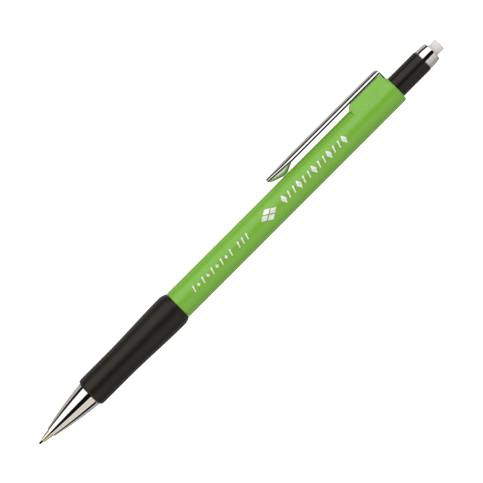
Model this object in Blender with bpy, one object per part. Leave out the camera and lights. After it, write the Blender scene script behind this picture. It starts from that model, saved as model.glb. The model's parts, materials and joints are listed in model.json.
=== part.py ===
"""Push-button mechanical pencil for 0.7 mm lead, lying on a table on its grip and its clip.

Every piece is drawn in the pencil's own directions: x runs along the pencil from the tip of the lead to the
end of the eraser, y points out through the clip, and z points sideways. The empty "pencil_axis" carries them
all: it lays the pencil down along world X, at the height of the grip, and rolls it until the clip touches the
table. Sizes below are in millimetres.
"""

import math

import bmesh
import bpy
from mathutils import Vector

MM = 0.001

# Driving dimensions: where the visible pieces end along the pencil, and how thick they are.
OVERALL_LENGTH = 145.0
CONE_FRONT = 4.2
GRIP_FRONT = 18.3
GRIP_REAR = 50.15
BARREL_REAR = 129.0
BUTTON_REAR = 138.8
RING_REAR = 142.35
BARREL_RADIUS = 4.13
NECK_RADIUS = 3.45
GRIP_FRONT_RADIUS = 4.2
GRIP_RADIUS = 4.78
CONE_FRONT_RADIUS = 1.38
CONE_REAR_RADIUS = 3.68
CONE_BULGE = 0.4
BUTTON_RADIUS = 3.08
RING_RADIUS = 2.92
ERASER_RADIUS = 1.74
LEAD_RADIUS = 0.35
LEAD_LENGTH = 60.0

# Clearances between pieces.
SLIDE_GAP = 0.06
SEAT_GAP = 0.1

# Travel of the moving pieces.
PUSH_TRAVEL = 3.6
GUIDE_TRAVEL = 2.8
SPIRAL_PITCH = 4.0

# Bores of the barrel and of the cone.
NECK_BORE = 2.8
SHOULDER_BORE = 2.2
BARREL_BORE = 3.2
SHOULDER_FRONT = 41.0
SHOULDER_REAR = 51.0
CONE_BORE = 1.14
GUIDE_BORE = 1.6
SPIGOT_RADIUS = 2.72
SPIGOT_BORE = 2.45
SPIGOT_REAR = 24.0
GUIDE_BORE_FRONT = 7.8
GUIDE_REAR = 10.6
SPIGOT_BORE_FRONT = 14.4

# Chuck, clutch and their spring.
CHUCK_FRONT = GUIDE_REAR + GUIDE_TRAVEL + PUSH_TRAVEL + 0.2
CHUCK_REAR = 33.4
CHUCK_SHANK_RADIUS = 1.0
CHUCK_HEAD_RADIUS = 1.42
CHUCK_SLIT_WIDTH = 0.3
CHUCK_SLIT_REAR = 27.5
CLUTCH_FRONT = 17.6
CLUTCH_REAR = 20.6
CLUTCH_RADIUS = 1.9
HOUSING_FRONT = 14.6
HOUSING_REAR = 32.6
HOUSING_RADIUS = 2.35
HOUSING_BORE = 2.05
HOUSING_FLANGE_RADIUS = 2.6
CHUCK_SPRING_RADIUS, CHUCK_SPRING_WIRE, CHUCK_SPRING_TURNS = 1.52, 0.18, 9
CUSHION_SPRING_RADIUS, CUSHION_SPRING_WIRE, CUSHION_SPRING_TURNS = 2.42, 0.15, 6
SPRING_SEAT_FRONT = CLUTCH_REAR + SEAT_GAP
SPRING_SEAT_REAR = SPRING_SEAT_FRONT + 1.0

# Lead tube and eraser unit.
CONNECTOR_FRONT = 32.4
CONNECTOR_SHOULDER = 36.0
CONNECTOR_REAR = 39.5
CONNECTOR_RADIUS = 1.95
TUBE_BORE = 1.6
TUBE_RADIUS = 1.98
TUBE_REAR = 108.0
PLUG_FRONT = 103.0
CAGE_BORE = 2.0
CAGE_RADIUS = 2.32
CAGE_REAR = 136.2
CAGE_FLANGE_RADIUS = 2.65
BUTTON_FRONT = 109.0
BUTTON_BORE = 2.75
BUTTON_LIP_BORE = 2.42
BUTTON_LIP_REAR = 110.8
CARRIER_FRONT = 116.0
CARRIER_REAR = 124.0
CARRIER_RADIUS = 1.92
ERASER_FRONT = 120.4
LUG_FRONT = 116.2
LUG_REAR = 119.1
LUG_WIDTH = 0.8
SLOT_FRONT = 113.8
SLOT_REAR = 131.6
SLOT_WIDTH = 1.1
SPIRAL_TURNS = 5.5

# Clip and the boss that carries it. Heights are distances from the pencil's axis.
CLIP_TOE = 88.8
CLIP_REAR = 128.87
CLIP_TOP = 7.1
CLIP_SHOULDER = 6.45
CLIP_EDGE = 5.36
CLIP_HALF_WIDTH = 2.0
CLIP_SPLAY = 0.25
CLIP_THICKNESS = 0.4
CLIP_TAIL_END = 3.65
CLIP_PIVOT = (128.6, 5.1)
BOSS_FRONT = 116.4
BOSS_RISE_LENGTH = 1.35
BOSS_REAR = 128.25
BOSS_TOP = 5.2
BOSS_SIDE_ANGLE = math.radians(25)
NOTCH_HALF_WIDTH = 1.7
TONGUE_TOP = 6.4
TONGUE_HALF_WIDTH = 1.4
BUMP_FRONT = 89.1
BUMP_REAR = 96.7

# Facets round each turned piece.
OUTER_SEGMENTS = 32
INNER_SEGMENTS = 24
SMALL_SEGMENTS = 16

# How the pencil lies: the clip's lower corner is as low as the grip.
CLIP_CORNER = Vector((CLIP_SHOULDER, CLIP_HALF_WIDTH))
CLIP_DROP = math.asin(GRIP_RADIUS / CLIP_CORNER.length) - math.atan2(CLIP_CORNER.y, CLIP_CORNER.x)
CLIP_REACH = CLIP_SHOULDER * math.cos(CLIP_DROP) + math.hypot(
    (CLIP_TOP - CLIP_SHOULDER) * math.cos(CLIP_DROP), CLIP_HALF_WIDTH * math.sin(CLIP_DROP)
)


def clear_scene():
    for obj in list(bpy.data.objects):
        bpy.data.objects.remove(obj)


def material(name, colour, roughness, metallic=0.0):
    """A Principled BSDF of one colour."""
    made = bpy.data.materials.new(name)
    made.use_nodes = True
    shader = made.node_tree.nodes["Principled BSDF"]
    shader.inputs["Base Color"].default_value = (*colour, 1.0)
    shader.inputs["Roughness"].default_value = roughness
    shader.inputs["Metallic"].default_value = metallic
    return made


def add_object(name, mesh_data, finish, origin=(0.0, 0.0, 0.0)):
    """A bmesh in millimetres becomes an object of the pencil whose own origin is at the given point."""
    bmesh.ops.recalc_face_normals(mesh_data, faces=mesh_data.faces)
    bmesh.ops.translate(mesh_data, verts=mesh_data.verts, vec=-Vector(origin))
    bmesh.ops.scale(mesh_data, verts=mesh_data.verts, vec=(MM, MM, MM))
    mesh = bpy.data.meshes.new(name)
    mesh_data.to_mesh(mesh)
    mesh_data.free()
    mesh.shade_smooth()
    mesh.set_sharp_from_angle(angle=math.radians(35))
    obj = bpy.data.objects.new(name, mesh)
    bpy.context.scene.collection.objects.link(obj)
    obj.parent = bpy.data.objects["pencil_axis"]
    obj.location = Vector(origin) * MM
    if finish is not None:
        mesh.materials.append(finish)
    return obj


def skin_rings(mesh_data, rings, close_loop):
    """Faces between successive rings of vertices. A ring of one vertex is a point on the axis."""
    pairs = list(zip(rings, rings[1:]))
    if close_loop:
        pairs.append((rings[-1], rings[0]))
    for first, second in pairs:
        count = max(len(first), len(second))
        for i in range(count):
            j = (i + 1) % count
            if len(first) == 1 and len(second) == 1:
                continue
            if len(first) == 1:
                mesh_data.faces.new((first[0], second[j], second[i]))
            elif len(second) == 1:
                mesh_data.faces.new((first[i], first[j], second[0]))
            else:
                mesh_data.faces.new((first[i], first[j], second[j], second[i]))


def turned(name, outline, finish, segments=INNER_SEGMENTS, centre=(0.0, 0.0)):
    """A closed outline of (x, radius) points turned about a line along x through (y, z) = centre."""
    mesh_data = bmesh.new()
    rings = []
    for x, radius in outline:
        count = segments if radius > 0 else 1
        ring = []
        for i in range(count):
            angle = math.tau * i / count
            y = centre[0] + radius * math.cos(angle)
            z = centre[1] + radius * math.sin(angle)
            ring.append(mesh_data.verts.new((x, y, z)))
        rings.append(ring)
    touches_axis = outline[0][1] == 0
    skin_rings(mesh_data, rings, close_loop=not touches_axis)
    front = min(x for x, _ in outline)
    return add_object(name, mesh_data, finish, (front, *centre))


def loft(name, sections, finish, origin=(0.0, 0.0, 0.0)):
    """A solid through closed sections of equally many points, with flat ends."""
    mesh_data = bmesh.new()
    rings = [[mesh_data.verts.new(point) for point in section] for section in sections]
    skin_rings(mesh_data, rings, close_loop=False)
    mesh_data.faces.new(rings[0])
    mesh_data.faces.new(rings[-1])
    return add_object(name, mesh_data, finish, origin)


def block(name, low, high, finish=None, turn=0.0):
    """A box between two corners, turned about the pencil's axis."""
    mesh_data = bmesh.new()
    bmesh.ops.create_cube(mesh_data, size=1.0)
    size = Vector(high) - Vector(low)
    bmesh.ops.scale(mesh_data, verts=mesh_data.verts, vec=size)
    bmesh.ops.translate(mesh_data, verts=mesh_data.verts, vec=(Vector(low) + Vector(high)) / 2)
    obj = add_object(name, mesh_data, finish)
    obj.rotation_euler.x = turn
    return obj


def helix_solid(name, centre_line, section, finish, segments_per_turn, turns):
    """A solid swept round the axis. centre_line(share) gives x, and section lists (x, radius) offsets from it."""
    mesh_data = bmesh.new()
    steps = round(segments_per_turn * turns)
    rings = []
    for step in range(steps + 1):
        angle = math.tau * turns * step / steps
        x_middle = centre_line(step / steps)
        ring = []
        for dx, radius in section:
            point = (x_middle + dx, radius * math.cos(angle), radius * math.sin(angle))
            ring.append(mesh_data.verts.new(point))
        rings.append(ring)
    skin_rings(mesh_data, rings, close_loop=False)
    mesh_data.faces.new(rings[0])
    mesh_data.faces.new(rings[-1])
    return add_object(name, mesh_data, finish, (centre_line(0.0), 0.0, 0.0))


def coil_spring(name, front, rear, mean_radius, wire_radius, turns, finish):
    """A compression spring between two planes, with one closed turn at each end."""
    wire_sides = 5
    closed_pitch = 2.15 * wire_radius
    open_turns = turns - 2
    first, last = front + wire_radius, rear - wire_radius
    open_pitch = (last - first - 2 * closed_pitch) / open_turns

    def centre_line(share):
        turn = share * turns
        if turn < 1:
            return first + closed_pitch * turn
        if turn > turns - 1:
            return last - closed_pitch * (turns - turn)
        return first + closed_pitch + open_pitch * (turn - 1)

    section = [
        (
            wire_radius * math.sin(math.tau * i / wire_sides),
            mean_radius + wire_radius * math.cos(math.tau * i / wire_sides),
        )
        for i in range(wire_sides)
    ]
    return helix_solid(name, centre_line, section, finish, 12, turns)


def combine(target, other, operation):
    """A Boolean with another object, which is only a tool and not a piece."""
    modifier = target.modifiers.new(operation.lower(), "BOOLEAN")
    modifier.operation = operation
    modifier.object = other
    modifier.solver = "EXACT"
    other.hide_render = True
    other.display_type = "WIRE"


def arc(centre_x, centre_r, half_x, half_r, start, end, steps):
    """Points on an ellipse, from start to end in degrees: 0 is along +x and 90 away from the axis."""
    points = []
    for i in range(steps + 1):
        angle = math.radians(start + (end - start) * i / steps)
        points.append((centre_x + half_x * math.cos(angle), centre_r + half_r * math.sin(angle)))
    return points


def smooth_step(share):
    share = min(max(share, 0.0), 1.0)
    return share * share * (3 - 2 * share)


# Front end ---------------------------------------------------------------------------------------------------


def make_nose_cone(chrome):
    """The metal tip: an ogive outside, a stepped bore inside, and a spigot that holds it in the barrel."""
    steps = 7
    length = GRIP_FRONT - SEAT_GAP - CONE_FRONT
    outer = []
    for i in range(steps + 1):
        share = i / steps
        swell = share * (1 + CONE_BULGE * (1 - share))
        radius = CONE_FRONT_RADIUS + (CONE_REAR_RADIUS - CONE_FRONT_RADIUS) * swell
        outer.append((CONE_FRONT + length * share, radius))
    rear = outer[-1][0]
    outline = [
        (CONE_FRONT, CONE_BORE),
        *outer,
        (rear, SPIGOT_RADIUS),
        (SPIGOT_REAR, SPIGOT_RADIUS),
        (SPIGOT_REAR, SPIGOT_BORE),
        (SPIGOT_BORE_FRONT, SPIGOT_BORE),
        (SPIGOT_BORE_FRONT, GUIDE_BORE),
        (GUIDE_BORE_FRONT, GUIDE_BORE),
        (GUIDE_BORE_FRONT, CONE_BORE),
    ]
    turned("nose_cone", outline, chrome, OUTER_SEGMENTS)


def make_guide(brass, dark_rubber):
    """The sliding lead guide, and the rubber ring inside it that brakes the lead."""
    tip, tip_radius, flange = 1.2, 0.6, GUIDE_BORE_FRONT + SEAT_GAP
    neck_radius = CONE_BORE - SLIDE_GAP
    flange_radius = GUIDE_BORE - SEAT_GAP
    bore = LEAD_RADIUS + SLIDE_GAP
    pocket_front, pocket_radius = 8.6, 1.12
    outline = [
        (tip, bore),
        (tip, tip_radius),
        (CONE_FRONT - 0.2, neck_radius),
        (flange, neck_radius),
        (flange, flange_radius),
        (GUIDE_REAR, flange_radius),
        (GUIDE_REAR, pocket_radius),
        (pocket_front, pocket_radius),
        (pocket_front, bore),
    ]
    turned("guide_sleeve", outline, brass, INNER_SEGMENTS)
    front, back = pocket_front + SEAT_GAP, GUIDE_REAR - 0.4
    radius = pocket_radius - SLIDE_GAP
    ring = [(front, bore), (front, radius), (back, radius), (back, bore)]
    turned("lead_retainer", ring, dark_rubber, SMALL_SEGMENTS)


def make_leads(graphite):
    """The lead in use, on the axis, and three spare ones in the lead tube."""
    point = [(0.0, 0.0), (0.0, 0.2), (0.15, LEAD_RADIUS), (LEAD_LENGTH, LEAD_RADIUS), (LEAD_LENGTH, 0.0)]
    turned("lead", point, graphite, 12)
    front, spread = CONNECTOR_REAR + 1.5, 0.95
    rear = front + LEAD_LENGTH
    rod = [(front, 0.0), (front, LEAD_RADIUS), (rear, LEAD_RADIUS), (rear, 0.0)]
    for i in range(3):
        angle = math.tau * i / 3
        centre = (spread * math.cos(angle), spread * math.sin(angle))
        turned(f"spare_lead_{i + 1}", rod, graphite, 8, centre)


def make_chuck(brass):
    """The collet that grips the lead: three jaws on one shank, and the clutch ring that closes them."""
    bore, wide_bore = LEAD_RADIUS + SLIDE_GAP, 0.55
    outline = [
        (CHUCK_FRONT, bore),
        (CHUCK_FRONT, 1.15),
        (CHUCK_FRONT + 0.4, CHUCK_HEAD_RADIUS),
        (CHUCK_FRONT + 1.1, CHUCK_HEAD_RADIUS),
        (CHUCK_FRONT + 3.3, CHUCK_SHANK_RADIUS),
        (CHUCK_REAR, CHUCK_SHANK_RADIUS),
        (CHUCK_REAR, wide_bore),
        (CHUCK_FRONT + 2.8, wide_bore),
        (CHUCK_FRONT + 2.8, bore),
    ]
    chuck = turned("chuck", outline, brass, INNER_SEGMENTS)
    for i in range(3):
        low = (CHUCK_FRONT - 1, 0.15, -CHUCK_SLIT_WIDTH / 2)
        high = (CHUCK_SLIT_REAR, 2.0, CHUCK_SLIT_WIDTH / 2)
        slit = block(f"chuck_slit_{i + 1}", low, high, turn=math.tau * (i + 0.5) / 3)
        combine(chuck, slit, "DIFFERENCE")
    bore = CHUCK_HEAD_RADIUS + 0.08
    ring = [
        (CLUTCH_FRONT, bore),
        (CLUTCH_FRONT, CLUTCH_RADIUS - 0.15),
        (CLUTCH_FRONT + 0.2, CLUTCH_RADIUS),
        (CLUTCH_REAR, CLUTCH_RADIUS),
        (CLUTCH_REAR, bore),
    ]
    turned("clutch_ring", ring, brass, INNER_SEGMENTS)


def make_cartridge(plastic, steel):
    """The spring housing, which floats on the cushion spring, and both springs."""
    lip_rear, lip_bore, ring_bore, seat_bore = 16.2, 1.65, CLUTCH_RADIUS + 0.1, CHUCK_SHANK_RADIUS + 0.15
    flange_front = HOUSING_REAR - 1.2
    outline = [
        (HOUSING_FRONT, lip_bore),
        (HOUSING_FRONT, HOUSING_RADIUS),
        (flange_front, HOUSING_RADIUS),
        (flange_front, HOUSING_FLANGE_RADIUS),
        (HOUSING_REAR, HOUSING_FLANGE_RADIUS),
        (HOUSING_REAR, HOUSING_BORE),
        (SPRING_SEAT_REAR, HOUSING_BORE),
        (SPRING_SEAT_REAR, seat_bore),
        (SPRING_SEAT_FRONT, seat_bore),
        (SPRING_SEAT_FRONT, ring_bore),
        (lip_rear, ring_bore),
        (lip_rear, lip_bore),
    ]
    turned("spring_housing", outline, plastic, INNER_SEGMENTS)
    front, rear = SPRING_SEAT_REAR + SEAT_GAP, CONNECTOR_FRONT - SEAT_GAP
    coil_spring(
        "chuck_spring", front, rear, CHUCK_SPRING_RADIUS, CHUCK_SPRING_WIRE, CHUCK_SPRING_TURNS, steel
    )
    front, rear = HOUSING_REAR + SEAT_GAP, SHOULDER_FRONT - SEAT_GAP
    coil_spring(
        "cushion_spring", front, rear, CUSHION_SPRING_RADIUS, CUSHION_SPRING_WIRE, CUSHION_SPRING_TURNS, steel
    )


# Body --------------------------------------------------------------------------------------------------------


def make_grip(rubber):
    """The soft sleeve: level at the front, swelling towards the rear, with rounded ends."""
    bore = NECK_RADIUS + 0.05
    corner, shoulder, drop = 1.1, 2.0, 0.65
    front = arc(
        GRIP_FRONT + corner, GRIP_FRONT_RADIUS - corner / 2, corner, corner / 2, 180, 90, 3
    )
    swell_front, swell_rear, steps = 28.5, GRIP_REAR - shoulder, 5
    swell = []
    for i in range(steps + 1):
        share = i / steps
        radius = GRIP_FRONT_RADIUS + (GRIP_RADIUS - GRIP_FRONT_RADIUS) * smooth_step(share)
        swell.append((swell_front + (swell_rear - swell_front) * share, radius))
    rear = [(swell_rear + shoulder * share, GRIP_RADIUS - drop * share**1.7) for share in (0.35, 0.7, 1.0)]
    outline = [(GRIP_FRONT, bore), *front, *swell, *rear, (GRIP_REAR, bore)]
    turned("grip", outline, rubber, OUTER_SEGMENTS)


def boss_section(x, top):
    """The boss across the pencil: flat sides that leave the barrel as tangents, and a level top."""
    sin, cos = math.sin(BOSS_SIDE_ANGLE), math.cos(BOSS_SIDE_ANGLE)
    top_half = (BARREL_RADIUS - top * sin) / cos
    half = [(top, top_half), (BARREL_RADIUS * sin, BARREL_RADIUS * cos)]
    wall_middle = (BARREL_RADIUS + BARREL_BORE) / 2
    half += [(wall_middle * math.sin(a), wall_middle * math.cos(a)) for a in map(math.radians, (22, 45, 68))]
    right = [(x, y, z) for y, z in half]
    left = [(x, y, -z) for y, z in reversed(half)]
    return [*right, *left]


def make_barrel(green):
    """The tube, with its narrow neck under the grip, and the boss that the clip sits on."""
    round_end, fall = 0.7, 0.5
    rear = arc(BARREL_REAR - round_end, BARREL_RADIUS - fall, round_end, fall, 90, 0, 3)
    neck_front = GRIP_FRONT + 0.2
    step = GRIP_REAR + SEAT_GAP
    outline = [
        (neck_front, NECK_BORE),
        (neck_front, NECK_RADIUS),
        (step, NECK_RADIUS),
        (step, BARREL_RADIUS - 0.1),
        (step + 0.1, BARREL_RADIUS),
        *rear,
        (BARREL_REAR, BARREL_BORE),
        (SHOULDER_REAR + 0.8, BARREL_BORE),
        (SHOULDER_REAR, SHOULDER_BORE),
        (SHOULDER_FRONT, SHOULDER_BORE),
        (SHOULDER_FRONT, NECK_BORE),
    ]
    barrel = turned("barrel", outline, green, OUTER_SEGMENTS)
    low = BARREL_RADIUS + 0.06
    front = [
        boss_section(BOSS_FRONT + BOSS_RISE_LENGTH * share, BOSS_TOP - (BOSS_TOP - low) * (1 - share) ** 1.7)
        for share in (0.0, 0.25, 0.55, 1.0)
    ]
    boss = loft("boss_shape", [*front, boss_section(BOSS_REAR, BOSS_TOP)], None)
    tongue = block(
        "tongue_shape",
        (BOSS_FRONT + 1.4, BARREL_RADIUS, -TONGUE_HALF_WIDTH),
        (BOSS_REAR - 0.05, TONGUE_TOP, TONGUE_HALF_WIDTH),
    )
    notch = block(
        "notch_shape",
        (BOSS_REAR, CLIP_TAIL_END - 0.15, -NOTCH_HALF_WIDTH),
        (BARREL_REAR + 1, BOSS_TOP + 1, NOTCH_HALF_WIDTH),
    )
    combine(barrel, boss, "UNION")
    combine(barrel, tongue, "UNION")
    combine(barrel, notch, "DIFFERENCE")


# Clip --------------------------------------------------------------------------------------------------------


def clip_section(x, edge, shoulder, top, half_width):
    """The clip across its length: a channel, open towards the barrel, with splayed sides and a domed back."""
    steps = 6
    inner_half, inner_top = half_width - CLIP_THICKNESS, top - CLIP_THICKNESS
    angles = [math.pi / 2 - math.pi * i / steps for i in range(steps + 1)]
    outer = [(x, shoulder + (top - shoulder) * math.cos(a), half_width * math.sin(a)) for a in angles]
    inner = [(x, shoulder + (inner_top - shoulder) * math.cos(a), inner_half * math.sin(a)) for a in angles]
    return [
        (x, edge, half_width + CLIP_SPLAY),
        *outer,
        (x, edge, -half_width - CLIP_SPLAY),
        (x, edge, -inner_half - CLIP_SPLAY),
        *reversed(inner),
        (x, edge, inner_half + CLIP_SPLAY),
    ]


def bump_section(share):
    """The bump near the clip's toe, which bears on the barrel."""
    lowest_share, roof = 0.58, CLIP_SHOULDER + 0.2
    seat = BARREL_RADIUS + 0.06
    ahead = share < lowest_share
    from_lowest = abs(share - lowest_share) / (lowest_share if ahead else 1 - lowest_share)
    keel = seat + (1.35 if ahead else 1.02) * from_lowest**1.3
    half = 1.15 * math.sqrt(max(1 - (2 * share - 1) ** 2, 0.12))
    x = BUMP_FRONT + (BUMP_REAR - BUMP_FRONT) * share
    bilge = keel + 0.45 * (roof - keel)
    side = [(roof, half), (bilge, half), (keel, half * 0.35)]
    return [(x, y, z) for y, z in side] + [(x, y, -z) for y, z in reversed(side)]


def make_clip(chrome):
    """Sheet metal: the channel, its folded tail behind the boss, and the bump at its toe."""
    toe_top, toe_shoulder, toe_edge, toe_half = 6.85, 6.4, 5.85, 1.3
    neck = 97.0
    sections = []
    for x, share, narrow in (
        (CLIP_TOE, 0.0, 0.0),
        (CLIP_TOE + 0.6, 0.15, 0.6),
        (CLIP_TOE + 3.0, 0.5, 0.8),
        (neck, 0.9, 0.9),
        (BOSS_FRONT, 1.0, 1.0),
        (CLIP_REAR - 0.5, 1.0, 1.0),
    ):
        edge = toe_edge + (CLIP_EDGE - toe_edge) * min((x - CLIP_TOE) / (neck - CLIP_TOE), 1.0)
        shoulder = toe_shoulder + (CLIP_SHOULDER - toe_shoulder) * share
        top = toe_top + (CLIP_TOP - toe_top) * share
        half = toe_half + (CLIP_HALF_WIDTH - toe_half) * narrow
        sections.append(clip_section(x, edge, shoulder, top, half))
    sections.append(
        clip_section(CLIP_REAR, CLIP_EDGE, CLIP_SHOULDER - 0.3, CLIP_TOP - 0.4, CLIP_HALF_WIDTH - 0.3)
    )
    pivot = (*CLIP_PIVOT, 0.0)
    clip = loft("clip", sections, chrome, pivot)
    bump = loft("bump_shape", [bump_section(i / 6) for i in range(7)], None)
    tail = block(
        "tail_shape",
        (CLIP_REAR - CLIP_THICKNESS, CLIP_TAIL_END, -1.45),
        (CLIP_REAR - 0.02, CLIP_SHOULDER, 1.45),
    )
    combine(clip, bump, "UNION")
    combine(clip, tail, "UNION")


# Lead tube, eraser and push button ---------------------------------------------------------------------------


def make_lead_store(plastic, clear_plastic):
    """The connector on the chuck's rear end, and the tube that holds the spare leads."""
    pocket, throat, mouth = CHUCK_SHANK_RADIUS + 0.06, 0.45, 1.25
    pocket_rear = CHUCK_REAR + 0.2
    connector = [
        (CONNECTOR_FRONT, pocket),
        (CONNECTOR_FRONT, CONNECTOR_RADIUS),
        (CONNECTOR_SHOULDER, CONNECTOR_RADIUS),
        (CONNECTOR_SHOULDER, TUBE_BORE - 0.05),
        (CONNECTOR_REAR, TUBE_BORE - 0.05),
        (CONNECTOR_REAR, mouth),
        (pocket_rear + 1.0, throat),
        (pocket_rear, throat),
        (pocket_rear, pocket),
    ]
    turned("tube_connector", connector, plastic, INNER_SEGMENTS)
    front = CONNECTOR_SHOULDER + SEAT_GAP
    tube = [(front, TUBE_BORE), (front, TUBE_RADIUS), (TUBE_REAR, TUBE_RADIUS), (TUBE_REAR, TUBE_BORE)]
    turned("lead_tube", tube, clear_plastic, INNER_SEGMENTS)


def make_eraser_cage(plastic):
    """The slotted tube that plugs into the lead tube. It keeps the eraser carrier from turning."""
    flange_front, flange_rear = TUBE_REAR + SEAT_GAP, BUTTON_FRONT - SEAT_GAP
    snap_front, snap_rear = BUTTON_LIP_REAR + SEAT_GAP, BUTTON_LIP_REAR + 0.7
    floor_front, floor_rear, plug_bore = 110.0, 112.5, 1.2
    outline = [
        (floor_rear, 0.0),
        (floor_rear, CAGE_BORE),
        (CAGE_REAR, CAGE_BORE),
        (CAGE_REAR, CAGE_RADIUS),
        (snap_rear, CAGE_RADIUS),
        (snap_rear, CAGE_FLANGE_RADIUS),
        (snap_front, CAGE_FLANGE_RADIUS),
        (snap_front, CAGE_RADIUS),
        (flange_rear, CAGE_RADIUS),
        (flange_rear, CAGE_FLANGE_RADIUS),
        (flange_front, CAGE_FLANGE_RADIUS),
        (flange_front, TUBE_BORE - 0.05),
        (PLUG_FRONT, TUBE_BORE - 0.05),
        (PLUG_FRONT, plug_bore),
        (floor_front, plug_bore),
        (floor_front, 0.0),
    ]
    cage = turned("eraser_cage", outline, plastic, INNER_SEGMENTS)
    slot = block("slot_shape", (SLOT_FRONT, 1.0, -SLOT_WIDTH / 2), (SLOT_REAR, 3.0, SLOT_WIDTH / 2))
    combine(cage, slot, "DIFFERENCE")


def make_twist_drive(plastic):
    """The spiral rib inside the twist sleeve, whose turns push the carrier's lug along the slot."""
    inner, outer, half = CAGE_RADIUS + 0.12, BUTTON_BORE - 0.05, 0.3
    section = [(-half, inner), (-half, outer), (half, outer), (half, inner)]
    length = SPIRAL_PITCH * SPIRAL_TURNS
    lug_middle = (LUG_FRONT + LUG_REAR) / 2
    # Two turns of the rib cross the slot half a pitch in front of the lug and half a pitch behind it.
    start = lug_middle + 4.5 * SPIRAL_PITCH
    helix_solid(
        "eraser_spiral", lambda share: start - length * share, section, plastic, 20, SPIRAL_TURNS
    )


def make_push_button(black, chrome):
    """The twist sleeve, which is also the push button, and the metal ring on its end."""
    edge = 0.15
    sleeve = [
        (BUTTON_FRONT, BUTTON_LIP_BORE),
        (BUTTON_FRONT, BUTTON_RADIUS),
        (BUTTON_REAR - edge, BUTTON_RADIUS),
        (BUTTON_REAR, BUTTON_RADIUS - edge),
        (BUTTON_REAR, BUTTON_BORE),
        (BUTTON_LIP_REAR, BUTTON_BORE),
        (BUTTON_LIP_REAR, BUTTON_LIP_BORE),
    ]
    turned("twist_sleeve", sleeve, black, OUTER_SEGMENTS)
    front = BUTTON_REAR + SEAT_GAP
    skirt_front = CAGE_REAR + 0.2
    skirt, skirt_bore, mouth = BUTTON_BORE - 0.05, CAGE_RADIUS + 0.1, ERASER_RADIUS + 0.15
    crown = arc(RING_REAR - 0.75, RING_RADIUS - 0.72, 0.75, 0.5, 90, 0, 3)
    ring = [
        (skirt_front, skirt_bore),
        (skirt_front, skirt),
        (front, skirt),
        (front, RING_RADIUS),
        (front + 1.8, RING_RADIUS - 0.08),
        *crown,
        (RING_REAR, mouth),
        (front + 0.5, mouth),
        (front + 0.5, skirt_bore),
    ]
    turned("end_ring", ring, chrome, OUTER_SEGMENTS)


def make_eraser(white_rubber, plastic):
    """The eraser, and the carrier whose lug reaches out through the slot to the spiral."""
    cup_floor, cup_bore = ERASER_FRONT - 0.2, ERASER_RADIUS + 0.06
    cup = [
        (CARRIER_FRONT, 0.0),
        (CARRIER_FRONT, CARRIER_RADIUS),
        (CARRIER_REAR, CARRIER_RADIUS),
        (CARRIER_REAR, cup_bore),
        (cup_floor, cup_bore),
        (cup_floor, 0.0),
    ]
    carrier = turned("eraser_carrier", cup, plastic, INNER_SEGMENTS)
    lug = block("lug_shape", (LUG_FRONT, 1.3, -LUG_WIDTH / 2), (LUG_REAR, BUTTON_BORE - 0.12, LUG_WIDTH / 2))
    combine(carrier, lug, "UNION")
    edge = 0.35
    eraser = [
        (ERASER_FRONT, 0.0),
        (ERASER_FRONT, ERASER_RADIUS),
        *arc(OVERALL_LENGTH - edge, ERASER_RADIUS - edge, edge, edge, 90, 0, 2),
        (OVERALL_LENGTH, 0.0),
    ]
    turned("eraser", eraser, white_rubber, INNER_SEGMENTS)


def main():
    clear_scene()
    axis = bpy.data.objects.new("pencil_axis", None)
    bpy.context.scene.collection.objects.link(axis)
    side = (CLIP_REACH - GRIP_RADIUS) / 2
    axis.location = Vector((-OVERALL_LENGTH / 2, -side, GRIP_RADIUS)) * MM
    axis.rotation_euler.x = -CLIP_DROP

    green = material("green_plastic", (0.2, 0.5, 0.045), 0.25)
    rubber = material("black_rubber", (0.02, 0.019, 0.016), 0.6)
    black = material("black_plastic", (0.02, 0.02, 0.018), 0.35)
    chrome = material("chrome", (0.9, 0.9, 0.88), 0.06, 1.0)
    brass = material("brass", (0.78, 0.6, 0.28), 0.2, 1.0)
    steel = material("spring_steel", (0.6, 0.6, 0.6), 0.25, 1.0)
    graphite = material("graphite", (0.03, 0.03, 0.035), 0.45)
    plastic = material("white_plastic", (0.8, 0.8, 0.78), 0.4)
    clear_plastic = material("lead_tube_plastic", (0.75, 0.78, 0.8), 0.2)
    white_rubber = material("eraser_rubber", (0.85, 0.82, 0.81), 0.7)

    make_nose_cone(chrome)
    make_guide(brass, rubber)
    make_leads(graphite)
    make_chuck(brass)
    make_cartridge(plastic, steel)
    make_grip(rubber)
    make_barrel(green)
    make_clip(chrome)
    make_lead_store(plastic, clear_plastic)
    make_eraser_cage(plastic)
    make_twist_drive(plastic)
    make_push_button(black, chrome)
    make_eraser(white_rubber, plastic)


main()
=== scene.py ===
"""The look of the mechanical pencil, built round its CAD model.

Sizes are in millimetres in the pencil's own directions: x runs from the tip of the lead to the
end of the eraser, y points out through the clip, and z points sideways, which is where the
camera looks from. PENCIL carries those directions into the frame. Radii and stations along the
pencil are read from the CAD nodes where these have them.
"""

import json
import math

import bmesh
import bpy
import numpy as np
from mathutils import Matrix, Vector


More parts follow.
